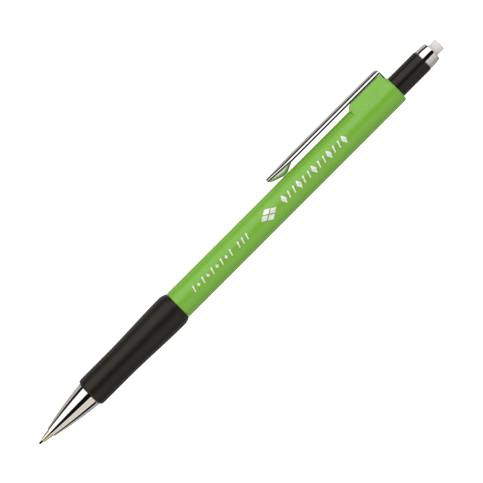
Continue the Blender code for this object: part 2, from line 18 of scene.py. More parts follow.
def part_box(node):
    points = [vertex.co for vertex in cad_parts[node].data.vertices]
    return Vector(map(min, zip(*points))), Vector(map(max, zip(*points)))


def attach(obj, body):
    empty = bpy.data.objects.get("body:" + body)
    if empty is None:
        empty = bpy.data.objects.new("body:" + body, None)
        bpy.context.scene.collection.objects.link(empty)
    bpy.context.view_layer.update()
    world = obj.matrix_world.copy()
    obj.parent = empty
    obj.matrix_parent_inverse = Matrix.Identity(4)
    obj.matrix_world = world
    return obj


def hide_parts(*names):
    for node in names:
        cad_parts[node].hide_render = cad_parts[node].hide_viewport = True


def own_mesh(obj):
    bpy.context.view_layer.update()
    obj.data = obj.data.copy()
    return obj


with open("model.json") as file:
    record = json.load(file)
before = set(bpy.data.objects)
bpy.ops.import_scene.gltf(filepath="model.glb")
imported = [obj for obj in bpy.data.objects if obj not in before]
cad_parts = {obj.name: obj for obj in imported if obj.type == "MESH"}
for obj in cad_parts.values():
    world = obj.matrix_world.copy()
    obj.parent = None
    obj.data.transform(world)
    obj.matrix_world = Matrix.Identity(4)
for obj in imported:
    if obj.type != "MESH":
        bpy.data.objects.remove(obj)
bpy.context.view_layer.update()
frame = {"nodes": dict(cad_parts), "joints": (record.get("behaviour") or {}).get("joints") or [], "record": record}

MM = 0.001
# How many corners a turned piece has all round.
FINE = 128
MEDIUM = 72
COARSE = 40
# How far two outside pieces that meet end to end stay apart.
GAP = 0.1

# Where the pencil lies: the lead gives its axis, and the clip's hinge gives its roll.
LEAD_LOW, LEAD_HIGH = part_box("lead")
HINGE = next(joint for joint in frame["joints"] if joint["name"] == "clip_flex")
SIDEWAYS = -Vector(HINGE["axis"]).normalized()
ORIGIN = Vector((LEAD_LOW.x, (LEAD_LOW.y + LEAD_HIGH.y) / 2, (LEAD_LOW.z + LEAD_HIGH.z) / 2))
ROLL = math.atan2(SIDEWAYS.y, SIDEWAYS.z)
PENCIL = Matrix.Translation(ORIGIN) @ Matrix.Rotation(-ROLL, 4, "X")

BODIES = frame["record"]["behaviour"]["bodies"]
BODY_OF = {node: body for body, nodes in BODIES.items() for node in nodes}
SLOT_OF = {part["node"]: part["material_slot"] for part in frame["record"]["subparts"]}


def corners(node):
    """The corners of a CAD node in the pencil's own directions, in millimetres."""
    vertices = frame["nodes"][node].data.vertices
    points = np.empty(len(vertices) * 3, np.float32)
    vertices.foreach_get("co", points)
    to_pencil = np.array(PENCIL.inverted())
    return (points.reshape(-1, 3) @ to_pencil[:3, :3].T + to_pencil[:3, 3]) / MM


def span(node):
    """Where a node starts and ends along the pencil."""
    along = corners(node)[:, 0]
    return float(along.min()), float(along.max())


def distances(node, start, end):
    """How far from the pencil's axis the node's corners between two stations are."""
    points = corners(node)
    chosen = points[(points[:, 0] >= start) & (points[:, 0] <= end)]
    return np.hypot(chosen[:, 1], chosen[:, 2])


def reach(node, start=-math.inf, end=math.inf):
    """The node's largest radius between two stations."""
    return float(distances(node, start, end).max())


def bore(node, start=-math.inf, end=math.inf):
    """The node's smallest radius between two stations."""
    return float(distances(node, start, end).min())


# Materials ------------------------------------------------------------------

# Nearly all the values of a noise texture lie between these two.
NOISE_LOW, NOISE_HIGH = 0.3, 0.7
# A wave texture of scale 1 has this many bands to the metre.
WAVE_BANDS = 3.2


class Finish:
    """A material with a Principled BSDF, and the kinds of surface detail that pieces share."""

    def __init__(self, name, colour, roughness, metallic=0.0):
        self.material = bpy.data.materials.new(name)
        self.material.use_nodes = True
        self.nodes = self.material.node_tree.nodes
        self.links = self.material.node_tree.links
        self.shader = self.nodes["Principled BSDF"]
        self.set("Base Color", (*colour, 1))
        self.set("Roughness", roughness)
        self.set("Metallic", metallic)
        self.place = self.nodes.new("ShaderNodeTexCoord").outputs["Object"]

    def set(self, socket, value):
        """Give one of the shader's own sockets its value."""
        self.shader.inputs[socket].default_value = value

    def noise(self, scale, detail=3.0):
        """Noise with the given number of grains per millimetre."""
        mapping = self.nodes.new("ShaderNodeMapping")
        mapping.inputs["Scale"].default_value = [scale / MM] * 3
        texture = self.nodes.new("ShaderNodeTexNoise")
        texture.inputs["Scale"].default_value = 1
        texture.inputs["Detail"].default_value = detail
        self.links.new(self.place, mapping.inputs["Vector"])
        self.links.new(mapping.outputs["Vector"], texture.inputs["Vector"])
        return texture.outputs["Fac"]

    def rings(self, per_mm):
        """Fine turning marks round the pencil, so many to the millimetre."""
        texture = self.nodes.new("ShaderNodeTexWave")
        texture.bands_direction = "X"
        texture.inputs["Scale"].default_value = per_mm / MM / WAVE_BANDS
        texture.inputs["Distortion"].default_value = 2
        self.links.new(self.place, texture.inputs["Vector"])
        return texture.outputs["Fac"]

    def vary_colour(self, pattern, first, second):
        """The base colour goes from the first to the second colour with the pattern."""
        ramp = self.nodes.new("ShaderNodeValToRGB")
        ramp.color_ramp.elements[0].position = NOISE_LOW
        ramp.color_ramp.elements[0].color = (*first, 1)
        ramp.color_ramp.elements[1].position = NOISE_HIGH
        ramp.color_ramp.elements[1].color = (*second, 1)
        self.links.new(pattern, ramp.inputs["Fac"])
        self.links.new(ramp.outputs["Color"], self.shader.inputs["Base Color"])

    def vary_roughness(self, pattern, low, high):
        """The roughness goes from low to high with the pattern."""
        scale = self.nodes.new("ShaderNodeMapRange")
        scale.inputs["From Min"].default_value = NOISE_LOW
        scale.inputs["From Max"].default_value = NOISE_HIGH
        scale.inputs["To Min"].default_value = low
        scale.inputs["To Max"].default_value = high
        self.links.new(pattern, scale.inputs["Value"])
        self.links.new(scale.outputs["Result"], self.shader.inputs["Roughness"])

    def bump(self, pattern, height, strength):
        """Relief of the given height in millimetres."""
        node = self.nodes.new("ShaderNodeBump")
        node.inputs["Strength"].default_value = strength
        node.inputs["Distance"].default_value = height * MM
        self.links.new(pattern, node.inputs["Height"])
        self.links.new(node.outputs["Normal"], self.shader.inputs["Normal"])


def make_finishes():
    """One finish for each material slot of the record, and one for the silver print."""
    green = Finish("green_moulding", (0.15, 0.375, 0.03), 0.28)
    green.vary_colour(green.noise(0.35), (0.147, 0.368, 0.028), (0.156, 0.385, 0.033))
    green.vary_roughness(green.noise(1.2, 5), 0.24, 0.32)
    green.bump(green.noise(0.8, 2), 0.004, 0.5)
    green.set("Specular IOR Level", 0.65)

    rubber = Finish("black_rubber", (0.006, 0.0058, 0.0045), 0.34)
    rubber.vary_colour(rubber.noise(0.6, 4), (0.005, 0.0048, 0.0035), (0.007, 0.0066, 0.005))
    rubber.vary_roughness(rubber.noise(2.5, 4), 0.32, 0.42)
    rubber.bump(rubber.noise(9.0), 0.008, 0.3)

    black = Finish("black_moulding", (0.0065, 0.0062, 0.005), 0.3)
    black.vary_roughness(black.noise(2.0, 4), 0.26, 0.34)
    black.bump(black.noise(7.0), 0.006, 0.3)
    for dark in (rubber, black):
        dark.set("Specular IOR Level", 0.45)
        dark.set("Specular Tint", (1, 0.86, 0.78, 1))

    chrome = Finish("chrome_plate", (0.92, 0.92, 0.9), 0.04, metallic=1.0)
    chrome.vary_roughness(chrome.noise(1.5, 5), 0.02, 0.07)
    chrome.bump(chrome.noise(1.0, 2), 0.0015, 0.25)

    brass = Finish("turned_brass", (0.9, 0.83, 0.6), 0.1, metallic=1.0)
    brass.vary_colour(brass.noise(1.5, 4), (0.88, 0.8, 0.56), (0.92, 0.86, 0.64))
    brass.bump(brass.rings(9), 0.004, 0.3)

    steel = Finish("spring_wire", (0.62, 0.62, 0.61), 0.25, metallic=1.0)
    steel.vary_roughness(steel.noise(4.0, 4), 0.18, 0.35)
    steel.bump(steel.noise(6.0), 0.004, 0.3)

    graphite = Finish("graphite", (0.012, 0.012, 0.011), 0.4)
    graphite.vary_colour(graphite.noise(6.0, 4), (0.008, 0.008, 0.007), (0.02, 0.02, 0.018))
    graphite.bump(graphite.noise(14.0, 4), 0.01, 0.5)
    graphite.set("Specular IOR Level", 0.3)

    white = Finish("white_moulding", (0.78, 0.78, 0.75), 0.35)
    white.vary_colour(white.noise(0.5), (0.76, 0.76, 0.73), (0.81, 0.81, 0.78))
    white.bump(white.noise(5.0), 0.006, 0.3)

    clear = Finish("clear_tube", (0.85, 0.88, 0.9), 0.15)
    clear.vary_roughness(clear.noise(1.5, 4), 0.1, 0.25)
    clear.set("Transmission Weight", 0.8)
    clear.set("IOR", 1.5)

    eraser = Finish("eraser_rubber", (0.6, 0.57, 0.55), 0.6)
    eraser.vary_colour(eraser.noise(1.6, 4), (0.58, 0.55, 0.53), (0.63, 0.6, 0.58))
    eraser.bump(eraser.noise(8.0, 4), 0.02, 0.4)
    eraser.set("Subsurface Weight", 0.1)
    eraser.set("Subsurface Scale", 0.5 * MM)

    silver = Finish("silver_print", (0.86, 0.83, 0.85), 0.35, metallic=0.35)
    silver.vary_colour(silver.noise(3.0, 4), (0.78, 0.75, 0.77), (0.92, 0.89, 0.91))
    silver.bump(silver.noise(9.0), 0.004, 0.3)

    return {
        "green_plastic": green.material,
        "black_rubber": rubber.material,
        "black_plastic": black.material,
        "chrome": chrome.material,
        "brass": brass.material,
        "spring_steel": steel.material,
        "graphite": graphite.material,
        "white_plastic": white.material,
        "lead_tube_plastic": clear.material,
        "eraser_rubber": eraser.material,
        "silver_print": silver.material,
    }


# Mesh helpers ---------------------------------------------------------------

SHARP_EDGE = math.radians(40)
# Corners of a turned outline are rounded in this many steps, if they turn by this many degrees,
# and take up no more than this share of the lines on either side.
CORNER_STEPS = 4
CORNER_TURN = 20
CORNER_SHARE = 0.3
# Wire of the springs: corners along each turn, and round the wire.
COIL_STEPS = 40
COIL_SIDES = 10


def add_piece(name, mesh_data, body, slot):
    """A bmesh in the pencil's directions becomes a piece in the frame that rides on a body."""
    bmesh.ops.recalc_face_normals(mesh_data, faces=mesh_data.faces)
    bmesh.ops.scale(mesh_data, verts=mesh_data.verts, vec=(MM, MM, MM))
    bmesh.ops.transform(mesh_data, verts=mesh_data.verts, matrix=PENCIL)
    mesh = bpy.data.meshes.new(name)
    mesh_data.to_mesh(mesh)
    mesh_data.free()
    mesh.shade_smooth()
    mesh.set_sharp_from_angle(angle=SHARP_EDGE)
    mesh.materials.append(FINISHES[slot])
    piece = bpy.data.objects.new(name, mesh)
    bpy.context.scene.collection.objects.link(piece)
    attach(piece, body)
    return piece


def stand_in(node, mesh_data):
    """The detailed piece for a CAD node: it rides on its body, takes its slot and replaces it."""
    piece = add_piece(f"{node}_look", mesh_data, BODY_OF[node], SLOT_OF[node])
    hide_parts(node)
    return piece


def skin(mesh_data, rings, closed):
    """Faces between successive rings. A ring of one vertex is a point."""
    pairs = list(zip(rings, rings[1:]))
    if closed:
        pairs.append((rings[-1], rings[0]))
    for first, second in pairs:
        count = max(len(first), len(second))
        for i in range(count):
            j = (i + 1) % count
            edges = (first, i), (first, j), (second, j), (second, i)
            quad = [ring[k % len(ring)] for ring, k in edges]
            mesh_data.faces.new(list(dict.fromkeys(quad)))


def cap_ends(mesh_data, rings):
    """A face across the first ring and another across the last."""
    mesh_data.faces.new(rings[0])
    mesh_data.faces.new(rings[-1])


def rounded(outline, size):
    """A closed outline of (x, radius) with its corners rounded off, up to the given size, and a
    support point on either side of each."""
    result = []
    for i, point in enumerate(outline):
        corner = Vector(point)
        back = Vector(outline[i - 1]) - corner
        ahead = Vector(outline[(i + 1) % len(outline)]) - corner
        turn = 180 - math.degrees(back.angle(ahead))
        if corner.y == 0 or turn < CORNER_TURN:
            result.append(corner)
            continue
        cut = min(size, CORNER_SHARE * back.length, CORNER_SHARE * ahead.length)
        start = corner + back.normalized() * cut
        end = corner + ahead.normalized() * cut
        result.append(start + back.normalized() * cut * 0.5)
        for k in range(CORNER_STEPS + 1):
            t = k / CORNER_STEPS
            result.append(start.lerp(corner, t).lerp(corner.lerp(end, t), t))
        result.append(end + ahead.normalized() * cut * 0.5)
    return [(p.x, p.y) for p in result]


def turned(outline, segments=MEDIUM, angles=None, shaped=None):
    """A bmesh of an (x, radius) outline turned about the pencil's axis. It is closed unless both
    its ends are on the axis. shaped(i, angle, radius) changes the radius at a corner, where i is
    the corner's place in the outline."""
    if angles is None:
        angles = [math.tau * i / segments for i in range(segments)]
    mesh_data = bmesh.new()
    rings = []
    for i, (x, radius) in enumerate(outline):
        ring = []
        for angle in angles if radius > 0 else angles[:1]:
            r = shaped(i, angle, radius) if shaped else radius
            ring.append(mesh_data.verts.new((x, r * math.cos(angle), r * math.sin(angle))))
        rings.append(ring)
    skin(mesh_data, rings, closed=outline[0][1] > 0 or outline[-1][1] > 0)
    return mesh_data


def arc(centre_x, centre_r, half_x, half_r, start, end, steps):
    """Points on an ellipse from start to end, in degrees: 0 is along +x, 90 away from the axis."""
    angles = [math.radians(start + (end - start) * i / steps) for i in range(steps + 1)]
    return [(centre_x + half_x * math.cos(a), centre_r + half_r * math.sin(a)) for a in angles]


def smooth_step(share):
    """From 0 to 1 with a level start and end."""
    share = min(max(share, 0.0), 1.0)
    return share * share * (3 - 2 * share)


def rounded_block(low, high, size):
    """A bmesh of a box with bevelled edges."""
    low, high = Vector(low), Vector(high)
    mesh_data = bmesh.new()
    bmesh.ops.create_cube(mesh_data, size=1)
    bmesh.ops.scale(mesh_data, verts=mesh_data.verts, vec=high - low)
    bmesh.ops.translate(mesh_data, verts=mesh_data.verts, vec=(low + high) / 2)
    bmesh.ops.bevel(
        mesh_data,
        geom=mesh_data.edges[:],
        offset=size,
        segments=3,
        profile=0.5,
        affect="EDGES",
        clamp_overlap=True,
    )
    return mesh_data


def coil(front, rear, mean_radius, wire_radius, turns):
    """A bmesh of a compression spring with one closed turn at each end."""
    closed_pitch = 2.1 * wire_radius
    first, last = front + wire_radius, rear - wire_radius
    open_pitch = (last - first - 2 * closed_pitch) / (turns - 2)
    mesh_data = bmesh.new()
    rings = []
    for step in range(COIL_STEPS * turns + 1):
        turn = step / COIL_STEPS
        x = first + closed_pitch * turn
        if turn > 1:
            x = first + closed_pitch + open_pitch * (turn - 1)
        if turn > turns - 1:
            x = last - closed_pitch * (turns - turn)
        angle = math.tau * turn
        ring = []
        for i in range(COIL_SIDES):
            around = math.tau * i / COIL_SIDES
            radius = mean_radius + wire_radius * math.cos(around)
            along = x + wire_radius * math.sin(around)
            place = (along, radius * math.cos(angle), radius * math.sin(angle))
            ring.append(mesh_data.verts.new(place))
        rings.append(ring)
    skin(mesh_data, rings, closed=False)
    cap_ends(mesh_data, rings)
    return mesh_data


# Front end ------------------------------------------------------------------


def make_cone():
    """The chromed tip. It gives the radius of the hole that the guide slides in."""
    front, rear = span("nose_cone")
    step = span("grip")[0] - GAP
    small, large = 1.38, reach("nose_cone")
    bulge, bulge_steps = 0.4, 24
    outer = []
    for i in range(bulge_steps + 1):
        share = i / bulge_steps
        swell = share * (1 + bulge * (1 - share))
        outer.append((front + (step - front) * share, small + (large - small) * swell))
    spigot = reach("nose_cone", rear - 0.01)
    inner = bore("nose_cone", rear - 0.01)
    hole = bore("nose_cone", front, front + 0.01)
    chamber_front, chamber_rear = 7.8, span("guide_sleeve")[1] + 3.8
    chamber = 1.6
    outline = [
        (front, hole),
        *outer,
        (step, spigot),
        (rear, spigot),
        (rear, inner),
        (chamber_rear, inner),
        (chamber_rear, chamber),
        (chamber_front, chamber),
        (chamber_front, hole),
    ]
    stand_in("nose_cone", turned(rounded(outline, 0.12), FINE))
    return hole


def make_guide(cone_hole):
    """The brass guide, tapered to its tip, with a flange and a seat for the rubber ring."""
    front, rear = span("guide_sleeve")
    tip, taper_rear = 0.6, 4.0
    neck = cone_hole - 0.06
    hole = bore("guide_sleeve")
    flange_front, flange = 7.9, reach("guide_sleeve")
    seat_front, seat = 8.6, 1.12
    outline = [
        (front, hole),
        (front, tip),
        (taper_rear, neck),
        (flange_front, neck),
        (flange_front, flange),
        (rear, flange),
        (rear, seat),
        (seat_front, seat),
        (seat_front, hole),
    ]
    stand_in("guide_sleeve", turned(rounded(outline, 0.06), MEDIUM))


def make_lead():
    """The lead, with a rounded nib."""
    front, rear = span("lead")
    radius = reach("lead")
    nib = 0.3
    outline = [(front, 0.0), *arc(front + nib, 0, nib, radius, 180, 90, 6)[1:]]
    outline += [(rear, radius), (rear, 0.0)]
    stand_in("lead", turned(outline, COARSE))


def make_grip():
    """The soft sleeve: level at the front, swelling towards the rear, with rounded ends."""
    front, rear = span("grip")
    small, large = 4.25, reach("grip") - 0.022
    hole = bore("grip")
    nose_length, nose_depth = 1.2, 0.6
    level, swell_front, swell_steps = 24.0, 28.5, 32
    tail_length, tail_drop, tail_power, tail_steps = 2.0, 0.65, 1.7, 16
    swell_rear = rear - tail_length
    outline = [(front, hole)]
    outline += arc(front + nose_length, small - nose_depth, nose_length, nose_depth, 180, 90, 10)
    outline += [(level, small), (swell_front, small)]
    for i in range(1, swell_steps + 1):
        share = i / swell_steps
        radius = small + (large - small) * smooth_step(share)
        outline.append((swell_front + (swell_rear - swell_front) * share, radius))
    for i in range(1, tail_steps + 1):
        share = i / tail_steps
        outline.append((swell_rear + tail_length * share, large - tail_drop * share**tail_power))
    outline.append((rear, hole))
    stand_in("grip", turned(rounded(outline, 0.15), FINE))


# Barrel ---------------------------------------------------------------------

BOSS_FRONT = 116.4
BOSS_REAR = 128.35
BOSS_RISE = 1.5
BOSS_TOP = 5.29
# Where the boss's sides leave the barrel, round the pencil from the clip's side.
BOSS_SIDE = math.radians(65)
# The higher, the sharper the edges along the boss's top.
BOSS_SHARPNESS = 70
# The notch behind the boss, where the clip's tail sits.
NOTCH_FLOOR = 3.5
NOTCH_EDGE = math.atan2(1.7, NOTCH_FLOOR)
BARREL_END = span("barrel")[1]
BARREL_RADIUS = reach("barrel", span("grip")[1], BOSS_FRONT - 0.5)
BARREL_BORE = bore("barrel", BARREL_END - 0.1)


def from_clip_side(angle):
    """How far an angle round the pencil is from the clip's side, on either hand."""
    return abs((angle + math.pi) % math.tau - math.pi)


def boss_radius(angle, top):
    """The boss in polar form: a level top, and two sides that leave the barrel as tangents."""
    angle = from_clip_side(angle)
    if angle >= BOSS_SIDE:
        return BARREL_RADIUS
    to_top = top / math.cos(angle)
    to_side = BARREL_RADIUS / math.cos(angle - BOSS_SIDE)
    return (to_top**-BOSS_SHARPNESS + to_side**-BOSS_SHARPNESS) ** (-1 / BOSS_SHARPNESS)


def barrel_angles():
    """Every 3 degrees round the barrel, every half degree at the boss's two top edges, and
    one on either side of each edge of the notch."""
    across, up = BOSS_TOP * math.sin(BOSS_SIDE), BARREL_RADIUS - BOSS_TOP * math.cos(BOSS_SIDE)
    boss_corner = math.atan2(up, across)
    coarse = [math.radians(d) for d in range(-180, 180, 3)]
    close = [side * (boss_corner + math.radians(d / 2)) for side in (-1, 1) for d in range(-8, 9)]
    notch = [side * (NOTCH_EDGE + d) for side in (-1, 1) for d in (-0.001, 0.001)]
    kept = [a for a in coarse if all(abs(a - b) > math.radians(0.8) for b in close)]
    return sorted({round(a, 5) for a in kept + close + notch})


def make_barrel():
    """The green tube: neck, bore, rounded rear rim, and the boss and notch for the clip."""
    neck_front = span("barrel")[0]
    step = span("grip")[1] + GAP
    neck = reach("barrel", neck_front, neck_front + 0.1)
    hole = bore("barrel", neck_front, neck_front + 0.1)
    narrow = bore("barrel")
    shoulder_front, shoulder_rear = 41.0, 51.0
    soft_edge, edge_length = 0.12, 0.15
    rim_length, rim_drop = 0.75, 0.5
    rise_steps, rise_power = 16, 1.6

    # Each row is a station, the round tube's radius there, and the boss's share of its height.
    rows = []

    def add(points, boss=0.0):
        """Add rows at points of (station, radius), all with the same share of the boss."""
        rows.extend((x, radius, boss) for x, radius in points)

    edge = arc(step + edge_length, BARREL_RADIUS - soft_edge, edge_length, soft_edge, 180, 90, 4)
    add([(neck_front, neck), (step, neck), (step, BARREL_RADIUS - soft_edge), *edge[1:]])
    # The tube is straight through these stations, and the boss through those of `level`.
    plain = step + 0.5, 80.0, 112.0, BOSS_FRONT - 0.05, BOSS_FRONT
    add((x, BARREL_RADIUS) for x in plain)
    for i in range(1, rise_steps + 1):
        share = i / rise_steps
        height = 1 - (1 - share) ** rise_power
        rows.append((BOSS_FRONT + BOSS_RISE * share, BARREL_RADIUS, height))
    level = BOSS_FRONT + 1.7, 122.0, BOSS_REAR - 0.5, BOSS_REAR - 0.2
    add(((x, BARREL_RADIUS) for x in level), boss=1.0)
    for x, height in arc(BOSS_REAR - soft_edge, 1 - soft_edge, soft_edge, soft_edge, 90, 0, 4):
        rows.append((x, BARREL_RADIUS, height))
    rows += [(BOSS_REAR, BARREL_RADIUS, height) for height in (0.6, 0.25)]

    rim_front = BARREL_END - rim_length
    rim = arc(rim_front, BARREL_RADIUS - rim_drop, rim_length, rim_drop, 90, 0, 24)
    rim = [(x, radius) for x, radius in rim if x > BOSS_REAR - 0.02]
    add([(BOSS_REAR, rim[0][1])])
    notch_from = len(rows)
    add((max(x, BOSS_REAR + 0.02), radius) for x, radius in rim)
    notch_to = len(rows)
    add([(BARREL_END, BARREL_BORE), (shoulder_rear + 0.8, BARREL_BORE)])
    add([(shoulder_rear, narrow), (shoulder_front, narrow), (shoulder_front, hole)])
    add([(neck_front, hole)])

    def shaped(i, angle, radius):
        """The radius with the boss added and the notch taken away."""
        height = rows[i][2]
        if height > 0:
            top = BARREL_RADIUS + (BOSS_TOP - BARREL_RADIUS) * height
            radius = max(radius, boss_radius(angle, top))
        turn = from_clip_side(angle)
        if notch_from <= i < notch_to and turn < NOTCH_EDGE:
            radius = min(radius, NOTCH_FLOOR / math.cos(turn))
        return radius

    outline = [(x, radius) for x, radius, _ in rows]
    stand_in("barrel", turned(outline, angles=barrel_angles(), shaped=shaped))
    make_tongue()


def make_tongue():
    """The boss's tongue, which stands up into the clip's channel and holds the clip."""
    front, rear = BOSS_FRONT + 1.4, BOSS_REAR - 0.8
    low, high, half_width = 4.4, 6.15, 1.3
    tongue = rounded_block((front, low, -half_width), (rear, high, half_width), 0.2)
    add_piece("barrel_tongue", tongue, "barrel", "green_plastic")


# Print on the barrel --------------------------------------------------------

PRINT_HEIGHT = 0.012
PRINT_DEPTH = 0.01
PRINT_ROWS = 12


def make_mark(name, middle, half_height, limits, lift=0.0):
    """A thin silver patch on the barrel's camera side. limits(t) gives how far it runs to either
    side of its middle, at t from -1 at its lower edge to 1 at its upper edge."""
    mesh_data = bmesh.new()
    layers = []
    for radius in (BARREL_RADIUS - PRINT_DEPTH, BARREL_RADIUS + PRINT_HEIGHT):
        layer = []
        for i in range(PRINT_ROWS + 1):
            t = 2 * i / PRINT_ROWS - 1
            angle = math.pi / 2 - (lift + half_height * t) / BARREL_RADIUS
            for offset in limits(t):
                place = (middle + offset, radius * math.cos(angle), radius * math.sin(angle))
                layer.append(mesh_data.verts.new(place))
        layers.append(layer)
    under, top = layers
    for i in range(PRINT_ROWS):
        a, b, c, d = 2 * i, 2 * i + 1, 2 * i + 3, 2 * i + 2
        mesh_data.faces.new((top[a], top[b], top[c], top[d]))
        mesh_data.faces.new((under[d], under[c], under[b], under[a]))
        mesh_data.faces.new((top[a], top[d], under[d], under[a]))
        mesh_data.faces.new((top[c], top[b], under[b], under[c]))
    mesh_data.faces.new((top[0], under[0], under[1], top[1]))
    mesh_data.faces.new((top[-1], under[-1], under[-2], top[-2]))
    add_piece(name, mesh_data, "barrel", "silver_print")


def lozenge(half_length):
    """Limits of a lozenge, with slightly blunt ends."""
    return lambda t: (-half_length * (1.02 - abs(t)), half_length * (1.02 - abs(t)))


def slanted_bar(lean, width):
    """Limits of a slanted bar."""
    return lambda t: (lean * t - width / 2, lean * t + width / 2)


def make_row(name, stations, bar, lozenge_places=(), lozenge_size=None):
    """A row of slanted bars, each (half height, lean, width), with lozenges, each (half height,
    half length), at some of the places. stations are how many, the first one and the pitch."""
    count, first, pitch = stations
    for i in range(count):
        middle = first + pitch * i
        if i in lozenge_places:
            half_height, half_length = lozenge_size
            make_mark(f"print_{name}_lozenge_{i}", middle, half_height, lozenge(half_length))
        else:
            half_height, lean, width = bar
            make_mark(f"print_{name}_bar_{i}", middle, half_height, slanted_bar(lean, width))


def make_print():
    """Plain silver ornament: a long chain, a cluster of lozenges and two short rows."""
    make_row("long", (13, 88.6, 1.8), (0.9, 0.3, 0.42), range(0, 13, 3), (1.25, 0.75))
    for i, (along, lift) in enumerate(((0, 0.95), (0, -0.95), (-1.5, 0), (1.5, 0))):
        make_mark(f"print_cluster_{i}", 83.1 + along, 0.75, lozenge(1.2), lift)
    make_row("short", (3, 72.2, 1.5), (0.8, 0.25, 0.4))
    make_row("row", (9, 56.2, 1.65), (0.85, 0.25, 0.38), range(1, 9, 2), (0.55, 0.5))


# Clip -----------------------------------------------------------------------

CLIP_TOE, CLIP_REAR = span("clip")
# Its lower edge comes down from the toe to the neck, and its back falls in a rounded rear corner.
CLIP_NECK = 97.0
TOE_EDGE, NECK_EDGE = 5.85, 5.36
TOE_TOP, TOP_RISE = 6.92, 0.23
CLIP_CORNER, CORNER_FALL = 1.3, 0.9
# Its width at the toe, as a share of the widest, and the share of the rest that it gains quickly.
TOE_WIDTH, QUICK_SPREAD = 0.62, 0.6
# How far behind the toe the back, the quick part of the width, the dome and the wall's lean grow.
RISE_LENGTH, SPREAD_LENGTH, DOME_LENGTH, LEAN_LENGTH = 9, 1.5, 7, 0.5
# What the rear corner takes off the width, and the shares that it takes off the dome and fold.
CORNER_NARROWING, DOME_SHRINK, FOLD_SHRINK = 0.12, 0.8, 0.5
# The section: a flat strip along the middle of the back, a dome, a fold, a bend and the wall.
BACK_FLAT = 0.25
DOME_HALF = 2.25
TOE_DOME, DOME_GAIN = 0.1, 0.45
DOME_END = 50
DOME_STEPS = 8
FOLD_DEPTH = 0.38
BEND_DEPTH = 0.07
WALL_LEAN = 13
# The curl under the wall: each part's depth, the surface's angle at its start and end, and steps.
CURL = ((0.03, WALL_LEAN, 4, 2), (0.39, 4, -9, 4), (0.05, -13, -35, 3))
CURL_DEPTH = sum(depth for depth, _, _, _ in CURL)
SHEET = 0.4
# How far the inner side is below and inside the dome's middle, the dome's end and the fold's end.
INSIDE = ((0.39, 0.1), (0.36, 0.2), (0.2, 0.38))


def clip_station(x):
    """The height of the clip's lower edge and of its back, the depths of the dome and the fold,
    and the width as a share of the widest."""
    from_toe = x - CLIP_TOE
    rise = smooth_step(from_toe / RISE_LENGTH)
    spread = QUICK_SPREAD * smooth_step(from_toe / SPREAD_LENGTH) + (1 - QUICK_SPREAD) * rise
    drop = max(0.0, (x - (CLIP_REAR - CLIP_CORNER)) / CLIP_CORNER)
    fall = 1 - math.sqrt(max(1 - drop * drop, 0.0))
    edge = TOE_EDGE + (NECK_EDGE - TOE_EDGE) * min(from_toe / (CLIP_NECK - CLIP_TOE), 1.0)
    top = TOE_TOP + TOP_RISE * rise - CORNER_FALL * fall
    dome_depth = TOE_DOME + DOME_GAIN * smooth_step(from_toe / DOME_LENGTH)
    dome_depth *= 1 - DOME_SHRINK * fall
    fold_depth = FOLD_DEPTH * (1 - FOLD_SHRINK * fall)
    width = TOE_WIDTH + (1 - TOE_WIDTH) * spread - CORNER_NARROWING * fall
    return edge, top, dome_depth, fold_depth, width


def clip_ring(x):
    """The channel's closed outline across the pencil. Each side runs from the middle of the back
    over the dome, a broad fold, a nearly upright wall and an edge that curls in a little. Past
    the dome, angles are those of the surface's normal, from sideways up towards the back."""
    edge, top, dome_depth, fold_depth, width = clip_station(x)
    # The wall is upright at the very toe.
    lean = WALL_LEAN * smooth_step((x - CLIP_TOE) / LEAN_LENGTH)
    outer = [(top, 0.0), (top, BACK_FLAT * width)]
    dome = dome_depth / (1 - math.sin(math.radians(DOME_END)))
    for i in range(1, DOME_STEPS + 1):
        angle = math.radians(90 - (90 - DOME_END) * i / DOME_STEPS)
        y = top - dome * (1 - math.sin(angle))
        outer.append((y, (BACK_FLAT + DOME_HALF * math.cos(angle)) * width))
    middle, shoulder = outer[1 + DOME_STEPS // 2], outer[-1]

    def descend(depth, start, end, steps):
        """Go down by a depth while the normal turns from start to end."""
        y, z = outer[-1]
        for i in range(1, steps + 1):
            angle = start + (end - start) * (i - 0.5) / steps
            z += depth / steps * math.tan(math.radians(angle))
            y -= depth / steps
            outer.append((y, z))

    descend(fold_depth, 45, 41, 3)
    fold = outer[-1]
    descend(BEND_DEPTH, 38, lean, 4)
    descend(outer[-1][0] - edge - CURL_DEPTH, lean, lean, 2)
    for depth, start, end, steps in CURL:
        descend(depth, min(start, lean), end, steps)

    inner = [(top - SHEET, 0.0)]
    for (y, z), (down, across) in zip((middle, shoulder, fold), INSIDE):
        inner.append((y - down, z - across))
    inner.append((edge + 0.05, max(z for _, z in outer) - SHEET))
    outside = [*reversed(outer), *((y, -z) for y, z in outer[1:])]
    inside = [*((y, -z) for y, z in reversed(inner[1:])), *inner]
    return [(x, y, z) for y, z in outside + inside]


def make_clip():
    """Folded sheet: a channel with a domed back, a tail behind the boss, and a bump at the toe."""
    from_toe = 0, 0.1, 0.3, 0.6, 1.0, 1.5, 2.2, 3.0, 4.0, 5.5, 7.0, 8.2, 9.5, 14, 22, 30
    corner_steps = 12
    stations = [CLIP_TOE + distance for distance in from_toe]
    for i in range(corner_steps + 1):
        stations.append(CLIP_REAR - CLIP_CORNER * (1 - math.sin(math.pi / 2 * i / corner_steps)))
    mesh_data = bmesh.new()
    rings = [[mesh_data.verts.new(point) for point in clip_ring(x)] for x in stations]
    skin(mesh_data, rings, closed=False)
    cap_ends(mesh_data, rings)
    stand_in("clip", mesh_data)
    make_tail()
    make_bump()


